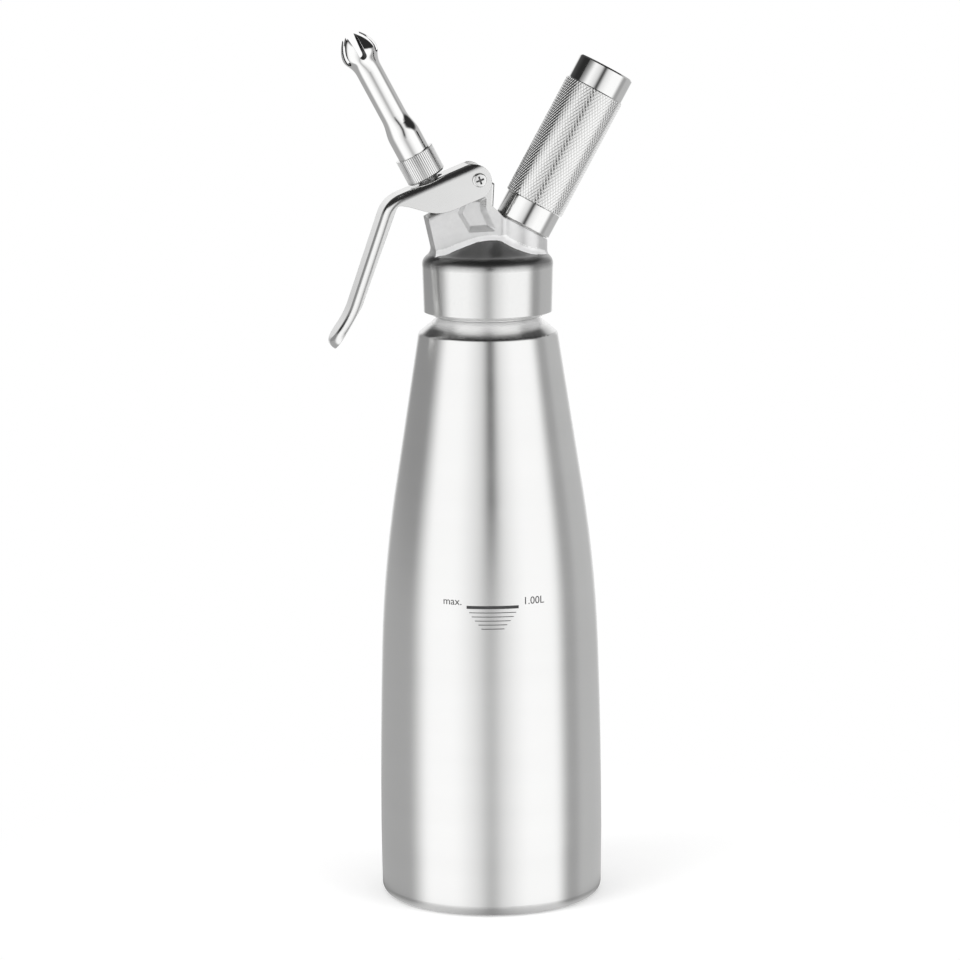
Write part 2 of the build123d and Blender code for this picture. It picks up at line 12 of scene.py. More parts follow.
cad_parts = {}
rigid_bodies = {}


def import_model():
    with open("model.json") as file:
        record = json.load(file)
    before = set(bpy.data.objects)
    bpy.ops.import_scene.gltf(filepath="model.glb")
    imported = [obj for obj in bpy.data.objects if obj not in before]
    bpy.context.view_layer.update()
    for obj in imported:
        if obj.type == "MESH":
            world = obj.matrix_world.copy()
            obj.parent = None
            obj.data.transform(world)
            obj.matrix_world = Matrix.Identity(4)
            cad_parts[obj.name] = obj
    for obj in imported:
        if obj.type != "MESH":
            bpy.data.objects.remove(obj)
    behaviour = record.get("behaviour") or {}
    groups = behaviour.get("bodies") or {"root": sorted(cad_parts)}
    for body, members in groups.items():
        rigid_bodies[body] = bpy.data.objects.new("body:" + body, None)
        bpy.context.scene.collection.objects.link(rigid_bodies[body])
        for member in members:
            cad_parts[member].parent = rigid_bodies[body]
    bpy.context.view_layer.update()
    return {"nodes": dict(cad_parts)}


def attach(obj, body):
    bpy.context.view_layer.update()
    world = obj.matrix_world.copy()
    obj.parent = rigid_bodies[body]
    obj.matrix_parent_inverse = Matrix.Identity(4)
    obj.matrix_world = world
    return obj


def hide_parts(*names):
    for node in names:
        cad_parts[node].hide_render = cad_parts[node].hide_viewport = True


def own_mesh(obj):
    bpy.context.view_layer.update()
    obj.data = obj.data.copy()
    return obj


MM = 0.001

for thing in list(bpy.data.objects):
    bpy.data.objects.remove(thing)
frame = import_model()
nodes = frame["nodes"]

# ---- Places of the CAD model -----------------------------------------------------------------------------
CROSS_Z = 274.9741  # the nozzle's and the holder's axes cross here
NOZZLE_TILT = radians(-28.0)
HOLDER_TILT = radians(29.0)
nozzle_frame = Matrix.Translation((0, 0, CROSS_Z * MM)) @ Matrix.Rotation(NOZZLE_TILT, 4, "Y")
holder_frame = Matrix.Translation((0, 0, CROSS_Z * MM)) @ Matrix.Rotation(HOLDER_TILT, 4, "Y")
upright = Matrix.Identity(4)


# ---- Materials -------------------------------------------------------------------------------------------
def add_node(tree, kind, settings=None, *ordered, **named):
    """A shader node; its inputs come in order or by name, each as a value or as the socket that feeds it."""
    node = tree.nodes.new(kind)
    for key, value in (settings or {}).items():
        setattr(node, key, value)
    inputs = list(zip(node.inputs, ordered))
    inputs += [(node.inputs[name.replace("_", " ")], value) for name, value in named.items()]
    for socket, value in inputs:
        if isinstance(value, bpy.types.NodeSocket):
            tree.links.new(value, socket)
        else:
            socket.default_value = value
    return node


class Finish:
    """A node material around one Principled shader."""

    def __init__(self, name, color, metallic, roughness, anisotropic=0.0):
        self.material = bpy.data.materials.new(name)
        self.material.use_nodes = True
        self.tree = self.material.node_tree
        self.shader = self.tree.nodes["Principled BSDF"]
        self.shader.inputs["Base Color"].default_value = (*color, 1)
        self.shader.inputs["Metallic"].default_value = metallic
        self.shader.inputs["Roughness"].default_value = roughness
        self.shader.inputs["Anisotropic"].default_value = anisotropic
        self.place = self.add("ShaderNodeTexCoord").outputs["Object"]

    def add(self, kind, settings=None, *ordered, **named):
        return add_node(self.tree, kind, settings, *ordered, **named)

    def feed(self, socket, source):
        self.tree.links.new(source, self.shader.inputs[socket])

    def in_frame(self, matrix):
        """Object coordinates seen from a tilted axis."""
        node = self.add("ShaderNodeMapping", {"vector_type": "TEXTURE"}, Vector=self.place,
                        Location=matrix.translation, Rotation=matrix.to_euler())
        return node.outputs[0]

    def stretched(self, place, scale):
        return self.add("ShaderNodeMapping", Vector=place, Scale=scale).outputs[0]

    def noise(self, place, scale=1.0, detail=2.0, rough=0.5):
        node = self.add("ShaderNodeTexNoise", Vector=place, Scale=scale, Detail=detail, Roughness=rough)
        return node.outputs["Fac"]

    def rings(self, place, count=1.0):
        """The fine rings round an axis that turning leaves, about 16 to a millimetre times count."""
        return self.noise(self.stretched(place, (40, 40, 16000 * count)), rough=0.6)

    def height(self, place):
        return self.add("ShaderNodeSeparateXYZ", Vector=place).outputs["Z"]

    def spread(self, source, low, high, start=0.3, end=0.7):
        """A pattern turned into values from low to high; noise lies mostly between 0.3 and 0.7."""
        node = self.add("ShaderNodeMapRange", Value=source, From_Min=start, From_Max=end,
                        To_Min=low, To_Max=high)
        return node.outputs[0]

    def math(self, operation, first, second):
        return self.add("ShaderNodeMath", {"operation": operation}, first, second).outputs[0]

    def blend(self, first, share, second):
        """Two patterns added up, of which the first has this share."""
        return self.math("ADD", self.math("MULTIPLY", first, share), self.math("MULTIPLY", second, 1 - share))

    def tinted(self, source, dark, light):
        """Base colour from dark to light, as the pattern goes from 0 to 1."""
        node = self.add("ShaderNodeMix", {"data_type": "RGBA"}, Factor=source)
        for socket, color in zip(node.inputs[6:8], (dark, light)):  # the mix node's inputs for colours
            socket.default_value = (*color, 1)
        self.feed("Base Color", node.outputs[2])

    def soft_edges(self, radius):
        return self.add("ShaderNodeBevel", {"samples": 4}, Radius=radius * MM).outputs[0]

    def bump(self, height, depth, strength, normal=None):
        """Bumps of this depth in millimetres; normal may come from soft_edges or from another bump."""
        node = self.add("ShaderNodeBump", Height=height, Distance=depth * MM, Strength=strength)
        if normal:
            self.tree.links.new(normal, node.inputs["Normal"])
        return node.outputs[0]

    def turned_about(self, place, matrix):
        """Lets reflections spread along the axis, across the fine rings that turning leaves."""
        axis = self.add("ShaderNodeVectorMath", {"operation": "CROSS_PRODUCT"}, (0, 0, 1), place)
        back = self.add("ShaderNodeMapping", {"vector_type": "VECTOR"}, Vector=axis.outputs[0],
                        Rotation=matrix.to_euler())
        world = self.add("ShaderNodeVectorTransform", {"convert_from": "OBJECT", "convert_to": "WORLD"},
                         Vector=back.outputs[0])
        self.feed("Tangent", world.outputs[0])
        self.shader.inputs["Anisotropic Rotation"].default_value = 0.25


def shaded(color, share):
    return [c * share for c in color]


def turned_steel(name, color, roughness, matrix, rings=1.0, anisotropy=0.6, edge=0.0, depth=0.004, painted_highlight=None):
    """Steel with fine rings round an axis, as spinning, turning and brushing leave them.

    Between the two given heights it carries a painted highlight, pale and less metallic, fading to the steel.
    """
    fade_in, fade_out = 3, 1.5
    look = Finish(name, color, 1.0, roughness, anisotropy)
    place = look.in_frame(matrix)
    fine = look.rings(place, rings)
    broad = look.noise(look.stretched(place, (6, 6, 60 * rings)))
    look.feed("Roughness", look.spread(look.blend(fine, 0.5, broad), roughness * 0.88, roughness * 1.14))
    # Painted highlight: pale base colour and lower metallic between the two heights.
    if painted_highlight:
        low, high = painted_highlight
        height = look.height(place)
        highlight = look.math("MULTIPLY", look.spread(height, 0, 1, low * MM, (low + fade_in) * MM),
                         look.spread(height, 1, 0, high * MM, (high + fade_out) * MM))
        look.feed("Metallic", look.spread(highlight, 1.0, 0.45, 0, 1))
        highlight_color = (0.97, 0.97, 0.97)
        look.tinted(look.math("MAXIMUM", highlight, look.spread(broad, 0, 0.12)), shaded(color, 0.975), highlight_color)
    else:
        look.tinted(look.spread(broad, 0, 1), shaded(color, 0.975), color)
    normal = look.soft_edges(edge) if edge else None
    look.feed("Normal", look.bump(fine, depth, 0.25, normal))
    look.turned_about(place, matrix)
    return look.material


def collar_finish(name, color, dome, roughness):
    """Turned steel that is brushed coarser on the dome, above the collar's rounded edge, where painted shade
    darkens it.
    """
    dome_start, dome_full = 285.2, 288.5
    look = Finish(name, color, 1.0, roughness, 0.6)
    fine = look.rings(look.place)
    round_fine = look.noise(look.stretched(look.place, (900, 900, 900)), detail=3.0, rough=0.6)
    above = look.spread(look.height(look.place), 0, 1, dome_start * MM, dome_full * MM)
    # Painted shade: the colour turns dark on the dome, above the collar's edge.
    look.tinted(look.math("ADD", above, look.spread(round_fine, -0.04, 0.04)), color, dome)
    grain = look.spread(fine, roughness * 0.85, roughness * 1.15)
    look.feed("Roughness", look.math("ADD", grain, look.math("MULTIPLY", above, 0.14)))
    look.feed("Normal", look.bump(fine, 0.004, 0.25, look.soft_edges(0.3)))
    look.turned_about(look.place, upright)
    return look.material


def polished_steel(name, color, roughness, edge=0.0):
    """Bright steel with faint handling smudges and hairline marks."""
    look = Finish(name, color, 1.0, roughness)
    smudge = look.noise(look.place, scale=90.0, detail=3.0, rough=0.55)
    hair = look.noise(look.stretched(look.place, (300, 3000, 420)))
    look.feed("Roughness", look.spread(look.blend(smudge, 0.65, hair), roughness * 0.8, roughness * 1.25))
    look.tinted(look.spread(smudge, 0, 1), shaded(color, 0.97), color)
    normal = look.soft_edges(edge) if edge else None
    look.feed("Normal", look.bump(hair, 0.002, 0.2, normal))
    return look.material


def cast_steel(name, metallic, light):
    """Satin casting: tumbled surface with a fine mottle, and softened edges."""
    look = Finish(name, (light, light, light), metallic, 0.36)
    grain = look.noise(look.place, scale=2600.0, detail=4.0, rough=0.6)
    mottle = look.noise(look.place, scale=300.0, detail=3.0, rough=0.55)
    look.feed("Roughness", look.spread(mottle, 0.30, 0.42))
    look.tinted(look.spread(mottle, 0, 1), [light - 0.04] * 3, [light + 0.03] * 3)
    waves = look.bump(mottle, 0.05, 0.25, look.soft_edges(0.8))
    look.feed("Normal", look.bump(grain, 0.01, 0.35, waves))
    return look.material


def rubber(name, color):
    look = Finish(name, color, 0.0, 0.55)
    grain = look.noise(look.place, scale=1500.0, detail=3.0)
    cloud = look.noise(look.place, scale=160.0)
    look.feed("Roughness", look.spread(grain, 0.45, 0.65))
    look.tinted(look.spread(cloud, 0, 1), shaded(color, 0.8), color)
    look.feed("Normal", look.bump(grain, 0.02, 0.3))
    return look.material


def printed(name):
    """The dark grey of the fill mark, slightly worn."""
    look = Finish(name, (0.045, 0.045, 0.047), 0.0, 0.5)
    wear = look.noise(look.place, scale=1800.0, detail=3.0)
    look.tinted(look.spread(wear, 0, 1, 0.35, 0.75), (0.022, 0.022, 0.023), (0.05, 0.05, 0.052))
    look.feed("Roughness", look.spread(wear, 0.42, 0.6))
    return look.material


STEEL = (0.80, 0.80, 0.795)
BRIGHT_STEEL = (0.82, 0.82, 0.815)
# The neck's slope between these heights carries a painted highlight.
NECK_HIGHLIGHT = (258.5, 265.5)
bottle_steel = turned_steel("bottle_steel", STEEL, 0.22, upright, painted_highlight=NECK_HIGHLIGHT)
# The dome's dark colour is painted shade.
collar_steel = collar_finish("collar_steel", (0.745, 0.745, 0.74), (0.24, 0.24, 0.24), 0.17)
head_cast = cast_steel("head_cast", 0.8, 0.74)
# Painted highlight on the fillet at the web's root: a paler, less metallic copy of the casting.
head_root_highlight = cast_steel("head_root_highlight", 0.3, 0.9)
# Painted shade on the valve tower's outer side: a darker copy of the casting.
head_side_shade = cast_steel("head_side_shade", 0.9, 0.4)
lever_steel = polished_steel("lever_steel", (0.79, 0.79, 0.785), 0.15, edge=0.5)
nozzle_steel = turned_steel("nozzle_steel", (0.84, 0.84, 0.835), 0.05, nozzle_frame, rings=0.7, anisotropy=0.2,
                            edge=0.12, depth=0.001)
# The nozzle's inner walls are painted dark: painted shade inside the tip.
nozzle_inside_shade = turned_steel("nozzle_inside_shade", (0.14, 0.14, 0.14), 0.4, nozzle_frame)
ring_steel = polished_steel("ring_steel", BRIGHT_STEEL, 0.1)
# Darker, rougher steel for the knurl's groove flanks: painted shade in the grooves.
ring_groove_shade = polished_steel("ring_groove_shade", (0.64, 0.64, 0.637), 0.2)
holder_bands = turned_steel("holder_bands", BRIGHT_STEEL, 0.07, holder_frame, anisotropy=0.3, edge=0.15,
                            depth=0.002)
holder_knurl = polished_steel("holder_knurl", BRIGHT_STEEL, 0.12)
screw_steel = polished_steel("screw_steel", STEEL, 0.15, edge=0.12)
# Dark steel for the cross recess: painted shade.
screw_recess_shade = polished_steel("screw_recess_shade", (0.22, 0.22, 0.22), 0.4)
# Darker steel as painted shade, for the valve stem, its nut and thread between the ring and the lever, and the
# head's bores.
machined_shaded_steel = turned_steel("machined_shaded_steel", (0.44, 0.44, 0.437), 0.3, nozzle_frame, edge=0.1)
nipple_steel = turned_steel("nipple_steel", (0.76, 0.76, 0.755), 0.26, holder_frame, edge=0.1)
spring_steel = polished_steel("spring_steel", (0.62, 0.62, 0.615), 0.24)
charger_steel = turned_steel("charger_steel", (0.70, 0.70, 0.695), 0.24, holder_frame, edge=0.1)
brass = turned_steel("piercer_brass", (0.80, 0.60, 0.30), 0.24, holder_frame, edge=0.1)
seal_rubber = rubber("seal_rubber", (0.60, 0.12, 0.08))
mark_print = printed("mark_print")


def paint(name, *materials):
    """Gives a CAD node these materials in place of its own."""
    slots = nodes[name].data.materials
    slots.clear()
    for material in materials:
        slots.append(material)


def share_out(piece, slot_of):
    """Gives every face of a piece the material slot that slot_of says."""
    for face in piece.data.polygons:
        face.material_index = slot_of(face)


paint("bottle", bottle_steel)
paint("lever", lever_steel)
paint("pivot_sleeve", screw_steel)
paint("valve_stem", machined_shaded_steel)
paint("spring_nut", machined_shaded_steel)
paint("charger", charger_steel)
paint("piercer_body", brass)
paint("piercing_pin", spring_steel)
paint("check_ball", spring_steel)
for seal in ("head_gasket", "valve_seal", "stem_oring", "nozzle_washer", "piercer_seal"):
    paint(seal, seal_rubber)


def seen_from(face, matrix):
    """A face in a tilted frame: height of its middle, its distance from the axis, and how far it faces out."""
    back = matrix.inverted()
    middle = (back @ face.center) / MM
    normal = back.to_3x3() @ face.normal
    radius = hypot(middle.x, middle.y)
    return middle.z, radius, (normal.x * middle.x + normal.y * middle.y) / max(radius, 0.001)


# The head is one casting. Its collar and dome are turned, with painted shade darkening the dome; its nipple and
# bores are machined, the bores dark with painted shade; its web is tumbled; the fillet at the web's root
# carries a painted highlight, paler and less metallic, and the valve tower's outer side carries painted shade,
# darker.
TURNED, CAST, NIPPLE, BORED, ROOT_HIGHLIGHT, SIDE_SHADE = range(6)
DOME = ((0.0, 299.92), (3.72, 299.5), (7.32, 298.48), (10.82, 297.14), (14.24, 295.6), (17.62, 293.98),
        (21.03, 292.42), (22.78, 291.74), (24.6, 291.32), (26.42, 290.83), (27.92, 289.7), (28.9, 288.08),
        (29.2, 286.22))  # radius and height, from the dome's top to the collar's widest ring
DOME_MARGINS = ((24.6, 0.12), (28.6, 0.25), (inf, 1.2))  # within a radius: how far above DOME is still turned
SEAM = 32.0  # top of the charger boss, along the holder's axis
VALVE_BORE_R, GAS_BORE_R, BORE_START = 7.1, 6.6, 10.0  # the bores lie inside these radii, beyond this height
TOWER_SIDE = -18.0  # the valve tower's outer side lies beyond this x
WEB_SIDE = 7.8  # the root's fillet lies beyond this y, just outside the web's flanks
ROOT_HEIGHT = 5.0  # the fillet ends this far above the dome
ROOT_SLOPE = (0.1, 0.9)  # upward share of a normal on the fillet, least and most
TOWER_FACING = -0.6  # x of a normal on the tower's outer side, at most
BORE_FACING, NOZZLE_FACING = -0.5, -0.3  # how far a wall inside them faces outwards, at most
FLUSH = 0.02  # room when faces are told apart by their height


def dome_height(radius):
    for (near_r, near_z), (far_r, far_z) in zip(DOME, DOME[1:]):
        if radius <= far_r:
            return near_z + (far_z - near_z) * (radius - near_r) / (far_r - near_r)
    return DOME[-1][1]


def head_finish(face):
    """Which of the head's material slots a face gets."""
    along, _, _ = seen_from(face, holder_frame)
    if along > SEAM + FLUSH:
        return NIPPLE
    # Faces inside the bores get the darker steel: painted shade.
    for matrix, bore_r in ((nozzle_frame, VALVE_BORE_R), (holder_frame, GAS_BORE_R)):
        along, radius, outwards = seen_from(face, matrix)
        if along > BORE_START and radius < bore_r and outwards < BORE_FACING:
            return BORED
    height, radius, _ = seen_from(face, upright)
    above = height - dome_height(radius)
    if above < next(margin for reach, margin in DOME_MARGINS if radius < reach):
        return TURNED
    # The tower's outer side gets painted shade.
    if face.normal.x < TOWER_FACING and face.center.x < TOWER_SIDE * MM:
        return SIDE_SHADE
    # The fillet at the web's root gets a painted highlight.
    least, most = ROOT_SLOPE
    root = above < ROOT_HEIGHT and least < face.normal.z < most and abs(face.center.y) > WEB_SIDE * MM
    return ROOT_HIGHLIGHT if root else CAST


paint("head", collar_steel, head_cast, nipple_steel, machined_shaded_steel, head_root_highlight, head_side_shade)
share_out(nodes["head"], head_finish)
paint("nozzle", nozzle_steel, nozzle_inside_shade)
# Faces that look inwards get the dark inside: painted shade.
share_out(nodes["nozzle"], lambda face: int(seen_from(face, nozzle_frame)[2] < NOZZLE_FACING))

# ---- Meshes ----------------------------------------------------------------------------------------------
SHARP = radians(30)  # edges that turn by more stay sharp


def new_piece(name, points, faces, material, body, matrix=upright, smooth=True):
    """A mesh piece from points in millimetres, in the frame given by matrix, riding on a body."""
    mesh = bpy.data.meshes.new(name)
    mesh.from_pydata([matrix @ (Vector(p) * MM) for p in points], [], faces)
    work = bmesh.new()
    work.from_mesh(mesh)
    bmesh.ops.remove_doubles(work, verts=work.verts, dist=1e-7)
    bmesh.ops.recalc_face_normals(work, faces=work.faces)
    for edge in work.edges:
        edge.smooth = len(edge.link_faces) == 2 and edge.calc_face_angle(0) < SHARP
    for face in work.faces:
        face.smooth = smooth
    work.to_mesh(mesh)
    work.free()
    piece = bpy.data.objects.new(name, mesh)
    bpy.context.scene.collection.objects.link(piece)
    mesh.materials.append(material)
    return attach(piece, body)


def smooth_step(value, start, end):
    t = min(1.0, max(0.0, (value - start) / (end - start)))
    return t * t * (3 - 2 * t)


def bridge(low, high, steps):
    """Quads between two rings of points that start at these indices."""
    return [(low + i, low + (i + 1) % steps, high + (i + 1) % steps, high + i) for i in range(steps)]


def closed_rows(count, steps):
    """Quads between this many rings of points, of which the last one meets the first."""
    rows = [i * steps for i in range(count)]
    return [face for low, high in zip(rows, rows[1:] + rows[:1]) for face in bridge(low, high, steps)]


def lathe(profile, steps):
    """Points and faces of a closed profile of (radius, height) turned about Z."""
    points = [(radius * cos(tau * i / steps), radius * sin(tau * i / steps), height)
              for radius, height in profile for i in range(steps)]
    return points, closed_rows(len(profile), steps)


def joined(*parts):
    """Several lists of points and faces as one."""
    points, faces = [], []
    for more_points, more_faces in parts:
        start = len(points)
        points += more_points
        faces += [tuple(start + i for i in face) for face in more_faces]
    return points, faces


# ---- Charger holder with its diamond knurl ---------------------------------------------------------------
HOLDER_BOTTOM, HOLDER_LENGTH = 32.3, 79.3
HOLDER_R, HOLDER_CHAMFER = 13.05, 0.7
HOLDER_BORE_R, HOLDER_THREAD_R, HOLDER_THREAD_DEPTH, HOLDER_BORE_DEPTH = 9.4, 11.1, 12.5, 71.6
HOLDER_CORE_R = 0.01  # closes the holder's ends on its axis
KNURL_R, KNURL_DEPTH, KNURL_START, KNURL_LENGTH, KNURL_EDGE = 13.7, 0.3, 11.0, 57.2, 0.5
KNURL_AROUND, KNURL_ALONG = 60, 23
KNURL_FLAT = 0.66  # share of a diamond that stays between its grooves
KNURL_SUNK = 0.05  # how far the band's bevels reach into the shell


def knurled_band():
    """Flat-topped diamonds between two sets of crossing grooves, with a bevel at both ends."""
    around, rows = 2 * KNURL_AROUND, 2 * KNURL_ALONG
    low = HOLDER_BOTTOM + KNURL_START + KNURL_EDGE
    high = HOLDER_BOTTOM + KNURL_START + KNURL_LENGTH - KNURL_EDGE
    points, faces, known = [], [], {}

    def point(a, b, radius, shift=0.0):
        key = (round(a % around, 4), round(b, 4), radius)
        if key not in known:
            known[key] = len(points)
            angle = tau * a / around
            points.append((radius * cos(angle), radius * sin(angle), low + (high - low) * b / rows + shift))
        return known[key]

    for b in range(rows + 1):
        for a in range((b + 1) % 2, around, 2):
            corners = [(1, 0), (0, 1), (-1, 0), (0, -1)]
            if b == 0:
                corners = corners[:3]
            if b == rows:
                corners = [(-1, 0), (0, -1), (1, 0)]
            root = [point(a + x, b + y, KNURL_R - KNURL_DEPTH) for x, y in corners]
            flat = [point(a + x * KNURL_FLAT, b + y * KNURL_FLAT, KNURL_R) for x, y in corners]
            faces.append(tuple(flat))
            whole = len(corners) == 4
            for i in range(4 if whole else 2):
                j = (i + 1) % 4
                faces.append((root[i], root[j], flat[j], flat[i]))
            if not whole:
                edge = [root[0], flat[0], flat[2], root[2]]
                side = -KNURL_EDGE if b == 0 else KNURL_EDGE
                places = [a + corners[0][0] * reach for reach in (1, KNURL_FLAT, -KNURL_FLAT, -1)]
                base = [point(place, b, HOLDER_R - KNURL_SUNK, side) for place in places]
                faces += [(edge[i], edge[i + 1], base[i + 1], base[i]) for i in range(3)]
    return points, faces


def holder_shell():
    low, top = HOLDER_BOTTOM, HOLDER_BOTTOM + HOLDER_LENGTH
    c = HOLDER_CHAMFER
    return lathe([(HOLDER_THREAD_R, low), (HOLDER_R - c, low), (HOLDER_R, low + c), (HOLDER_R, top - c),
                  (HOLDER_R - c, top), (HOLDER_CORE_R, top), (HOLDER_CORE_R, low + HOLDER_BORE_DEPTH),
                  (HOLDER_BORE_R, low + HOLDER_BORE_DEPTH), (HOLDER_BORE_R, low + HOLDER_THREAD_DEPTH),
                  (HOLDER_THREAD_R, low + HOLDER_THREAD_DEPTH)], steps=96)


shell = new_piece("holder_shell", *holder_shell(), holder_bands, "holder", holder_frame)
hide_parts("charger_holder")
grip = new_piece("holder_grip", *knurled_band(), holder_knurl, "holder", holder_frame, smooth=False)

# ---- Nozzle ring with its straight knurl -----------------------------------------------------------------
RING_BOTTOM, RING_HEIGHT, RING_R, RING_EDGE, RING_RIM = 57.5, 12.0, 8.9, 0.8, 0.2
RING_TEETH, RING_GROOVE = 58, 0.3
RING_LAND, RING_FACING = 0.08, 0.3  # a groove's flank starts this far under the crests, and faces out by more
TOOTH = ((0.0, RING_GROOVE), (0.24, 0.0), (0.5, 0.0), (0.76, 0.0))  # place in a tooth, and depth there
SPIGOT_R, SPIGOT_HEIGHT, RING_THROAT_R, RING_BORE_R, WASHER_TOP = 6.55, 4.0, 3.2, 4.8, 68.02


def toothed_ring():
    """Ring with straight grooves and bevelled ends; the bore and the spigot as in the CAD model."""
    low, top = RING_BOTTOM, RING_BOTTOM + RING_HEIGHT
    outline = [(RING_BORE_R, low), (RING_R - RING_EDGE, low), (RING_R, low + RING_EDGE),
               (RING_R, top - RING_RIM), (RING_R - RING_RIM, top), (SPIGOT_R, top),
               (SPIGOT_R, top + SPIGOT_HEIGHT), (RING_THROAT_R, top + SPIGOT_HEIGHT),
               (RING_THROAT_R, WASHER_TOP), (RING_BORE_R, WASHER_TOP)]
    points = []
    for radius, height in outline:
        for tooth in range(RING_TEETH):
            for step, depth in TOOTH:
                r = min(radius, RING_R - depth) if radius > SPIGOT_R else radius
                angle = tau * (tooth + step) / RING_TEETH
                points.append((r * cos(angle), r * sin(angle), height))
    return points, closed_rows(len(outline), RING_TEETH * len(TOOTH))


def in_ring_groove(face):
    _, radius, outwards = seen_from(face, nozzle_frame)
    return int(RING_R - RING_GROOVE < radius < RING_R - RING_LAND and outwards > RING_FACING)


ring = new_piece("ring_toothed", *toothed_ring(), ring_steel, "nozzle", nozzle_frame)
# The groove flanks get the darker steel: painted shade.
ring.data.materials.append(ring_groove_shade)
share_out(ring, in_ring_groove)
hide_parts("nozzle_ring")

# ---- Threads: radius, pitch, lower and upper end ---------------------------------------------------------
NECK_THREAD = (22.5, 3.0, 264.2, 281.2)
NIPPLE_THREAD = (10.8, 1.5, 32.8, 43.0)
STEM_THREAD = (4.5, 1.0, 54.2, 66.0)
THREAD_HEIGHT = 0.22  # within the 0.3 mm of room that the solids leave here
THREAD_SUNK = 0.1  # the ridge's foot lies this far inside the cylinder


def thread(radius, pitch, bottom, top, steps=72):
    """A ridge that winds up a cylinder and runs out over half a turn at both ends."""
    foot, flat = 0.46 * pitch, 0.08 * pitch
    count = int((top - bottom - pitch) / pitch * steps)
    points, faces = [], []
    for i in range(count + 1):
        angle = tau * i / steps
        fade = min(1.0, i / steps * 2, (count - i) / steps * 2)
        middle = bottom + pitch * (0.5 + i / steps)
        root, crest = radius - THREAD_SUNK, radius + THREAD_HEIGHT * fade
        for r, rise in ((root, -foot), (crest, -flat), (crest, flat), (root, foot)):
            points.append((r * cos(angle), r * sin(angle), middle + rise))
    for i in range(count):
        a, b = 4 * i, 4 * i + 4
        faces += [(a + k, b + k, b + k + 1, a + k + 1) for k in range(3)]
    return points, faces


new_piece("neck_thread", *thread(*NECK_THREAD, steps=120), bottle_steel, "bottle")
new_piece("nipple_thread", *thread(*NIPPLE_THREAD), nipple_steel, "head", holder_frame)
new_piece("stem_thread", *thread(*STEM_THREAD), machined_shaded_steel, "valve", nozzle_frame)

# ---- Springs: radius, radius of the wire, foot, top and turns --------------------------------------------
RETURN_SPRING = (5.65, 0.55, 34.0, 49.5751, 4)
CHECK_SPRING = (1.6, 0.25, 21.0, 25.164, 3)
SEAT_GAP = 0.04  # room at the moving end, so that the coil never cuts into its seat


def coil(radius, wire, bottom, top, turns, closed=0.7, steps=40, sides=12):
    """Spring of round wire; its end turns lie closed on their seats."""
    low, high = bottom + wire, top - wire - SEAT_GAP
    count = int((turns + 2 * closed) * steps)
    points, faces = [], []
    for i in range(count + 1):
        turn = i / steps - closed
        height = low + (high - low) * smooth_step(turn, -closed / 2, turns + closed / 2)
        across = Vector((cos(tau * turn), sin(tau * turn), 0))
        for k in range(sides):
            angle = tau * k / sides
            points.append(across * (radius + wire * cos(angle)) + Vector((0, 0, height + wire * sin(angle))))
    for i in range(count):
        faces += bridge(i * sides, (i + 1) * sides, sides)
    faces += [tuple(range(sides)), tuple(range(count * sides, (count + 1) * sides))]
    return points, faces


def spring(name, node, shape, matrix):
    """A coil in place of the CAD spring, with a mesh of its own; its foot stays on its seat."""
    piece = new_piece(name, *coil(*shape), spring_steel, "head", matrix)
    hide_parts(node)
    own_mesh(piece)


spring("return_coil", "return_spring", RETURN_SPRING, nozzle_frame)
spring("check_coil", "check_spring", CHECK_SPRING, holder_frame)

# ---- Pivot screw with a cross recess ---------------------------------------------------------------------
PIVOT = Vector((-5.0, 0.0, 324.6741))
PIVOT_HALF, SCREW_HEAD_R, SCREW_HEAD_HEIGHT, SHANK_R, SHANK_LENGTH = 10.1, 3.15, 1.5, 1.6, 14.0
SCREW_CORE_R = 0.001  # closes the screw's ends on its axis
SCREW_TURN = 0.35  # how the screw stands, in radians
SCREW_TOP = PIVOT_HALF + SCREW_HEAD_HEIGHT
RECESS_FLOOR = (1.3, 0.28, PIVOT_HALF + 0.35)  # a blade's half length, half width and height
RECESS_MOUTH = (1.9, 0.42, SCREW_TOP + 0.2)
RECESS_R = 2.0  # the recess lies inside this radius
pivot_frame = (Matrix.Translation(PIVOT * MM) @ Matrix.Rotation(radians(90), 4, "X")
               @ Matrix.Rotation(SCREW_TURN, 4, "Z"))


def cut(piece, cutter):
    """Takes the cutter's shape out of the piece for good."""
    step = piece.modifiers.new("cut", "BOOLEAN")
    step.object, step.solver = cutter, "EXACT"
    shown = piece.evaluated_get(bpy.context.evaluated_depsgraph_get())
    mesh = bpy.data.meshes.new_from_object(shown)
    mesh.validate()
    piece.modifiers.clear()
    piece.data = mesh
    bpy.data.objects.remove(cutter)


def screw_profile():
    r, half = SCREW_HEAD_R, SCREW_HEAD_HEIGHT / 2
    rounding = [(r - half + half * cos(a), SCREW_TOP - half + half * sin(a))
                for a in (k * pi / 12 for k in range(7))]
    return [(SCREW_CORE_R, PIVOT_HALF - SHANK_LENGTH), (SHANK_R, PIVOT_HALF - SHANK_LENGTH),
            (SHANK_R, PIVOT_HALF), (r, PIVOT_HALF), *rounding, (SCREW_CORE_R, SCREW_TOP)]


def recess_blade(turn):
    """One of two crossed blades, which narrow towards the bottom of the recess."""
    corners = []
    for length, width, height in (RECESS_FLOOR, RECESS_MOUTH):
        for x, y in ((-length, -width), (length, -width), (length, width), (-length, width)):
            corners.append((x * cos(turn) - y * sin(turn), x * sin(turn) + y * cos(turn), height))
    return corners, [(3, 2, 1, 0), (4, 5, 6, 7), (0, 1, 5, 4), (1, 2, 6, 5), (2, 3, 7, 6), (3, 0, 4, 7)]


def in_recess(face):
    along, radius, _ = seen_from(face, pivot_frame)
    return int(radius < RECESS_R and PIVOT_HALF < along < SCREW_TOP - FLUSH)


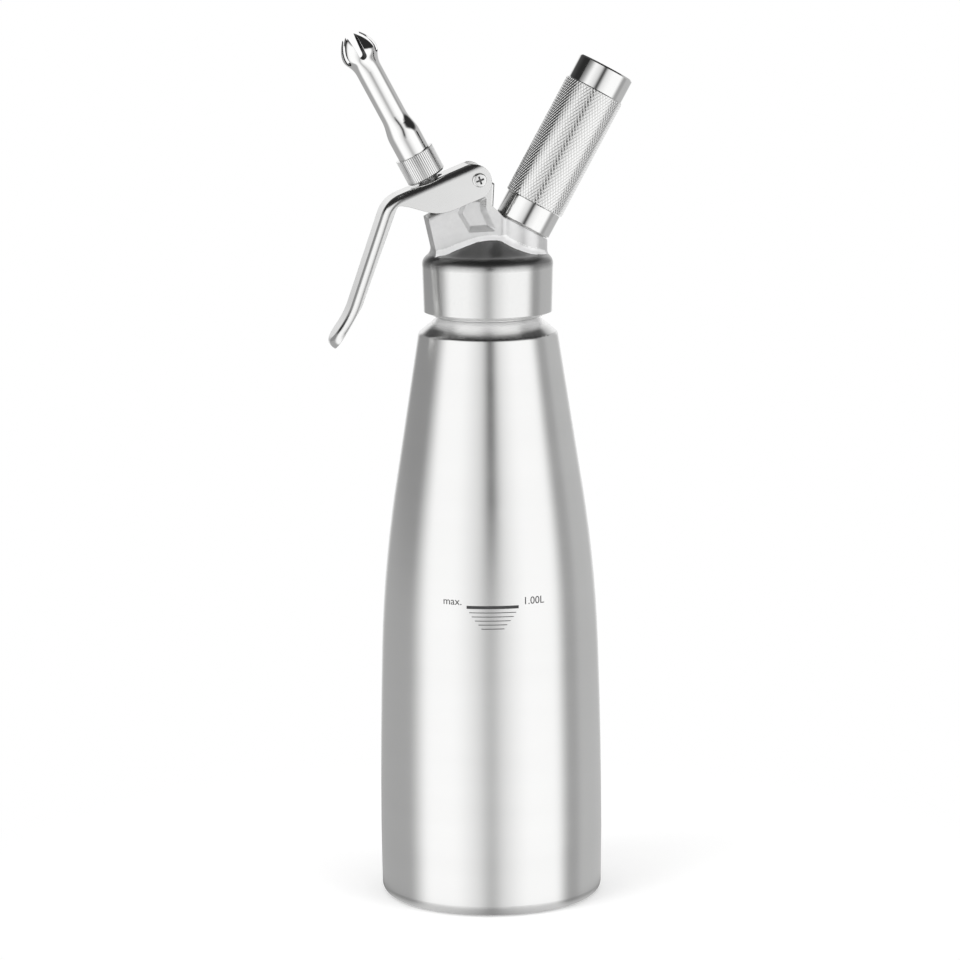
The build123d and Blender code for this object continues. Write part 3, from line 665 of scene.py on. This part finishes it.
screw = new_piece("screw_cross_head", *lathe(screw_profile(), steps=64), screw_steel, "head", pivot_frame)
for index, turn in enumerate((0, pi / 2)):
    cut(screw, new_piece(f"blade_{index}", *recess_blade(turn), screw_steel, "head", pivot_frame, smooth=False))
# The recess faces get the dark steel: painted shade.
screw.data.materials.append(screw_recess_shade)
share_out(screw, in_recess)
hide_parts("pivot_screw")

# ---- Fill mark on the bottle -----------------------------------------------------------------------------
MARK_AZIMUTH = radians(-8.0)
BAR_Z, BAR_WIDTH, BAR_HEIGHT = 139.95, 23.2, 1.35
LINES = ((2.35, 20.8), (4.15, 18.6), (5.95, 15.8), (7.7, 12.7), (9.5, 10.2))  # drop below the bar, and width
LINE_HEIGHT = 0.32
WORDS = (("max.", -22.6), ("1.00L", 13.6))  # and where they start, from the mark's middle
WORDS_Z, WORDS_SIZE = 140.85, 4.65
INK = 0.02  # the print lies this far off the steel
BEND_Z, BEND_START_R, BEND_R, BEND_LEAN = 113.0655, 48.7676, 590.0, radians(1.7)  # the bottle's upper bend


def bottle_radius(z):
    """Outside radius of the bottle over the stretch that carries the mark."""
    rise = BEND_R * sin(BEND_LEAN) + (z - BEND_Z)
    return BEND_START_R - BEND_R * cos(BEND_LEAN) + (BEND_R ** 2 - rise ** 2) ** 0.5


def on_bottle(across, z):
    """A point of the mark: across is measured round the bottle from the mark's middle."""
    radius = bottle_radius(z) + INK
    angle = MARK_AZIMUTH + across / radius
    return (radius * sin(angle), -radius * cos(angle), z)


def strip(width, height, z, steps=32):
    points = [on_bottle(width * (i / steps - 0.5), z + side * height / 2) for i in range(steps + 1)
              for side in (-1, 1)]
    faces = [(2 * i, 2 * i + 2, 2 * i + 3, 2 * i + 1) for i in range(steps)]
    return points, faces


def lettering(text, across):
    """Text as a flat mesh, bent round the bottle."""
    curve = bpy.data.curves.new("lettering", "FONT")
    curve.body, curve.size, curve.resolution_u = text, 1.0, 4
    writing = bpy.data.objects.new("lettering", curve)
    bpy.context.scene.collection.objects.link(writing)
    mesh = bpy.data.meshes.new_from_object(writing.evaluated_get(bpy.context.evaluated_depsgraph_get()))
    points = [on_bottle(across + v.co.x * WORDS_SIZE, WORDS_Z + v.co.y * WORDS_SIZE) for v in mesh.vertices]
    faces = [tuple(face.vertices) for face in mesh.polygons]
    bpy.data.objects.remove(writing)
    return points, faces


mark = joined(strip(BAR_WIDTH, BAR_HEIGHT, BAR_Z),
              *(strip(width, LINE_HEIGHT, BAR_Z - drop) for drop, width in LINES),
              *(lettering(text, across) for text, across in WORDS))
new_piece("fill_mark", *mark, mark_print, "bottle", smooth=False)

# ---- Studio, in metres and degrees -----------------------------------------------------------------------
scene = bpy.context.scene
scene.view_settings.view_transform = "Standard"
CAMERA_AZIMUTH = -9.5
BOTTLE_R = 0.05

FLOOR_REACH = 30.0
FLOOR_COLOR = (0.93, 0.93, 0.93, 1)
FLOOR_LIFT = 0.175  # light that the floor gives off itself, which makes the shadow paler
SHADOW_START, SHADOW_END = 0.07, 0.26  # between these distances the floor runs into the white background
AMBIENT = 0.8

TENT_R, TENT_MIDDLE, TENT_GAP = 1.1, 0.2, 0.0005  # radius, height of the middle, and gap over the floor
TENT_COLUMNS, TENT_ROWS = 300, 90
TENT_FOOT, TENT_TOP = -89, 90  # elevations of its lowest and highest row
MIRRORED_MOST = 140  # the floor takes no tone from further round the tent
BISECTIONS = 14
FOOT_SHADE_R, FOOT_SHADE = 0.064, 0.45  # the foot's own shade on the floor: radius and strength

LAMP_DISTANCE, LAMP_WIDTH, LAMP_HEIGHT, LAMP_AIM_Z = 1.6, 0.9, 1.4, 0.15
LAMPS = (("lamp_left", -50, 40, 8), ("lamp_right", 55, 45, 5))  # azimuth from the camera, elevation, power


def shader_tree(owner):
    owner.use_nodes = True
    tree = owner.node_tree
    tree.nodes.clear()
    return tree


def seen_directly(tree):
    """1 for rays from the camera, a reflection or a transmission, and 0 for light."""
    path = add_node(tree, "ShaderNodeLightPath")
    total = path.outputs["Is Camera Ray"]
    for ray in ("Is Glossy Ray", "Is Transmission Ray"):
        total = add_node(tree, "ShaderNodeMath", {"operation": "MAXIMUM"}, total, path.outputs[ray]).outputs[0]
    return total


def white_world():
    """White where it is seen, a plain level of light elsewhere."""
    world = bpy.data.worlds.new("studio")
    scene.world = world
    tree = shader_tree(world)
    level = add_node(tree, "ShaderNodeMapRange", Value=seen_directly(tree), To_Min=AMBIENT)
    back = add_node(tree, "ShaderNodeBackground", Color=(1, 1, 1, 1), Strength=level.outputs[0])
    add_node(tree, "ShaderNodeOutputWorld", Surface=back.outputs[0])


def floor_material():
    """Pale floor that keeps the shadow near the object and runs into the white background further out."""
    material = bpy.data.materials.new("floor")
    tree = shader_tree(material)
    matte = add_node(tree, "ShaderNodeBsdfDiffuse", Color=FLOOR_COLOR)
    lift = add_node(tree, "ShaderNodeEmission", Strength=FLOOR_LIFT)
    near = add_node(tree, "ShaderNodeAddShader", None, matte.outputs[0], lift.outputs[0])
    place = add_node(tree, "ShaderNodeTexCoord").outputs["Object"]
    distance = add_node(tree, "ShaderNodeVectorMath", {"operation": "LENGTH"}, place).outputs["Value"]
    far = add_node(tree, "ShaderNodeMapRange", {"interpolation_type": "SMOOTHSTEP"}, Value=distance,
                   From_Min=SHADOW_START, From_Max=SHADOW_END)
    share = add_node(tree, "ShaderNodeMath", {"operation": "MULTIPLY"}, far.outputs[0], seen_directly(tree))
    glow = add_node(tree, "ShaderNodeEmission")
    mix = add_node(tree, "ShaderNodeMixShader", None, share.outputs[0], near.outputs[0], glow.outputs[0])
    add_node(tree, "ShaderNodeOutputMaterial", Surface=mix.outputs[0])
    return material


def stage_mesh(name, points, faces, material):
    mesh = bpy.data.meshes.new(name)
    mesh.from_pydata(points, [], faces)
    mesh.materials.append(material)
    piece = bpy.data.objects.new(name, mesh)
    scene.collection.objects.link(piece)
    return piece


def tent_tone(azimuth, elevation):
    """Brightness of the reflector tent, by the angle from the camera and the height above the horizon."""
    side, left = abs(azimuth), azimuth < 0
    high = smooth_step(elevation, -5, 9)
    # Soft boxes on both sides, with a gap between them at the camera that is darker and narrower higher up.
    tone = 0.82 + 0.38 * smooth_step(side, 0, 42)
    gap, width = 0.28 + 0.62 * high, 9 - high
    tone *= 1 - gap * exp(-((azimuth - 3 * high) / width) ** 2)
    # Grey cards beyond the boxes, which draw the darker bands along the bottle's edges.
    if left:
        card, start, end = 0.45 - 0.13 * smooth_step(elevation, -10, 0), 66, 96
    else:
        card, start, end = 0.42 + 0.14 * smooth_step(side, 97, 112), 70, 91
    tone += (card - tone) * smooth_step(side, start, end)
    # White behind the object.
    back = 150 - 7 * high
    tone += (1.0 - tone) * smooth_step(side, back, back + 20)
    # The dark ceiling, which comes down lower over the cards.
    ceiling = 0.03 + 0.05 * smooth_step(side, 100, 150)
    edge = 33 - 15 * smooth_step(-azimuth, 74, 95) - 4 * smooth_step(azimuth, 60, 85)
    return tone + (ceiling - tone) * smooth_step(elevation, edge, edge + 9)


def mirrored_azimuth(azimuth, distance):
    """Where on the tent the bottle's wall would mirror the camera, for the tone of this point of the floor.

    The bottle's bands then stay upright where it mirrors the floor.
    """
    side = abs(azimuth)
    low, high = 0.0, side
    for _ in range(BISECTIONS):
        middle = (low + high) / 2
        x = distance * sin(radians(side)) - BOTTLE_R * sin(radians(middle))
        y = distance * cos(radians(side)) - BOTTLE_R * cos(radians(middle))
        low, high = (middle, high) if atan2(x, y) > radians(2 * middle) else (low, middle)
    side = max(side, min(low + high, MIRRORED_MOST))
    return side if azimuth > 0 else -side


def direction(azimuth, elevation):
    """Unit vector towards an azimuth, counted from the camera, and a height above the horizon."""
    a, e = radians(azimuth + CAMERA_AZIMUTH), radians(elevation)
    return sin(a) * cos(e), -cos(a) * cos(e), sin(e)


def reflector_tent():
    """Cards round the object that only its reflections see: soft boxes, grey sides and a dark ceiling."""
    points, faces, tones = [], [], []
    for row in range(TENT_ROWS + 1):
        elevation = TENT_FOOT + (TENT_TOP - TENT_FOOT) * row / TENT_ROWS
        for column in range(TENT_COLUMNS):
            azimuth = 360 * column / TENT_COLUMNS - 180
            x, y, z = direction(azimuth, elevation)
            if z < 0:
                reach = min(TENT_R, TENT_MIDDLE / -z) / TENT_R
                x, y, z = x * reach, y * reach, z * reach
            points.append((x * TENT_R, y * TENT_R, max(TENT_GAP, TENT_MIDDLE + z * TENT_R)))
            out = hypot(x, y) * TENT_R
            seen, shade = azimuth, 0
            if z < 0 and out < 0.99 * TENT_R:  # on the floor, clear of the wall
                shade = FOOT_SHADE * smooth_step(-out, -FOOT_SHADE_R, -BOTTLE_R)
                if out > BOTTLE_R:
                    seen = mirrored_azimuth(azimuth, out)
            tones.append(tent_tone(seen, elevation) * (1 - shade))
    for row in range(TENT_ROWS):
        faces += bridge(row * TENT_COLUMNS, (row + 1) * TENT_COLUMNS, TENT_COLUMNS)
    material = bpy.data.materials.new("tent")
    tree = shader_tree(material)
    tone = add_node(tree, "ShaderNodeAttribute", {"attribute_name": "tone"})
    glow = add_node(tree, "ShaderNodeEmission", Strength=tone.outputs["Fac"])
    add_node(tree, "ShaderNodeOutputMaterial", Surface=glow.outputs[0])
    tent = stage_mesh("tent", points, faces, material)
    tent.data.attributes.new("tone", "FLOAT", "POINT").data.foreach_set("value", tones)
    for ray in ("camera", "diffuse", "transmission", "volume_scatter", "shadow"):
        setattr(tent, f"visible_{ray}", False)


def soft_lamp(name, azimuth, elevation, power):
    light = bpy.data.lights.new(name, "AREA")
    light.shape, light.size, light.size_y, light.energy = "RECTANGLE", LAMP_WIDTH, LAMP_HEIGHT, power
    lamp = bpy.data.objects.new(name, light)
    scene.collection.objects.link(lamp)
    back = Vector(direction(azimuth, elevation))
    lamp.location = Vector((0, 0, LAMP_AIM_Z)) + back * LAMP_DISTANCE
    lamp.rotation_mode = "QUATERNION"
    lamp.rotation_quaternion = back.to_track_quat("Z", "Y")
    lamp.visible_glossy = False


stage_mesh("floor", [(-FLOOR_REACH, -FLOOR_REACH, 0), (FLOOR_REACH, -FLOOR_REACH, 0),
                     (FLOOR_REACH, FLOOR_REACH, 0), (-FLOOR_REACH, FLOOR_REACH, 0)], [(0, 1, 2, 3)],
           floor_material())
white_world()
reflector_tent()
for lamp in LAMPS:
    soft_lamp(*lamp)


# ---- Camera, fitted to the photograph --------------------------------------------------------------------
def make_camera():
    """Looks 9.3 degrees down from azimuth -9.5; frames of 960 x 960 have a focal length of 4081 pixels."""
    pixels, focal, pitch, roll = 960, 4081.0, radians(9.3), radians(-0.41)
    axis_pixel = (489.06, 468.8)  # where the optical axis of the un-turned camera falls
    distance, height = 1.8061, 0.4898
    azimuth = radians(CAMERA_AZIMUTH)
    right = Vector((cos(azimuth), sin(azimuth), 0))
    away = Vector((-sin(azimuth), cos(azimuth), 0))
    forward = away * cos(pitch) - Vector((0, 0, sin(pitch)))
    up = away * sin(pitch) + Vector((0, 0, cos(pitch)))
    aim = (forward + right * ((pixels / 2 - axis_pixel[0]) / focal)
           + up * ((axis_pixel[1] - pixels / 2) / focal))
    data = bpy.data.cameras.new("camera")
    data.sensor_width = 36.0
    data.lens = focal * data.sensor_width / pixels
    data.clip_start, data.clip_end = 0.05, 100
    camera = bpy.data.objects.new("camera", data)
    scene.collection.objects.link(camera)
    camera.location = away * -distance + Vector((0, 0, height))
    camera.rotation_mode = "QUATERNION"
    camera.rotation_quaternion = aim.to_track_quat("-Z", "Y") @ Matrix.Rotation(roll, 3, "Z").to_quaternion()
    scene.camera = camera


make_camera()
